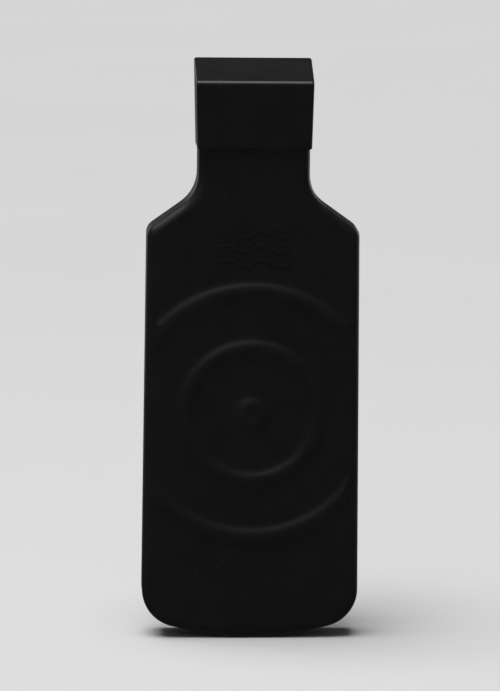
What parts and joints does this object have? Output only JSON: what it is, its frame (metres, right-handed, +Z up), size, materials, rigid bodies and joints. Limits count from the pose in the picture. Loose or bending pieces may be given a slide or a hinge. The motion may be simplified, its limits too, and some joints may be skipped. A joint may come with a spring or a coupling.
{
  "type": "submersible aquarium heater",
  "caption": "Flat bottle-shaped mini heater in black plastic, with ripple rings, a slant-roofed cap with a cord gland, and suction cups in slotted lugs behind.",
  "frame": {"origin": "centre of the upper suction cup's rim, on the glass, with the cup at rest in its lug", "axes": "+Z up along the heater towards the cap; +Y out of the back, into the glass; the ringed front face looks along -Y"},
  "size_m": [0.0334, 0.0172, 0.0893],
  "materials": {
    "housing_plastic": "satin, finely textured",
    "cap_plastic": "satin",
    "sealant": "matte",
    "gland_rubber": "matte",
    "potting_resin": "semi-gloss",
    "spreader_metal": "satin",
    "mica": "satin",
    "resistance_wire": "satin",
    "plated_brass": "satin",
    "silicone_sponge": "matte",
    "cutoff_metal": "satin",
    "tinned_copper": "satin",
    "fibre_sleeve": "matte",
    "lead_insulation": "satin",
    "shrink_tube": "satin",
    "cup_vinyl": "clear, glossy"
  },
  "bodies": {
    "housing": {"front_shell": "housing_plastic", "rear_shell": "housing_plastic", "shell_seal": "sealant", "end_cap": "cap_plastic", "cord_grommet": "gland_rubber", "neck_potting": "potting_resin", "heat_spreader": "spreader_metal", "front_insulator": "mica", "heating_wire": "resistance_wire", "element_card": "mica", "wire_terminals": "plated_brass", "rear_insulator": "mica", "pressure_pad": "silicone_sponge", "cutoff_case": "cutoff_metal", "cutoff_seal": "potting_resin", "cutoff_pigtails": "tinned_copper", "cutoff_sleeve": "fibre_sleeve", "neutral_lead": "lead_insulation", "splice_crimps": "tinned_copper", "splice_sleeves": "shrink_tube"},
    "upper_cup": {"suction_cup_upper": "cup_vinyl"},
    "lower_cup": {"suction_cup_lower": "cup_vinyl"}
  },
  "joints": [
    {"name": "upper_cup_slide", "type": "slide", "parent": "housing", "child": "upper_cup", "axis": [0, 0, -1], "range_m": [0, 0.009]},
    {"name": "lower_cup_slide", "type": "slide", "parent": "housing", "child": "lower_cup", "axis": [0, 0, -1], "range_m": [0, 0.009]}
  ]
}
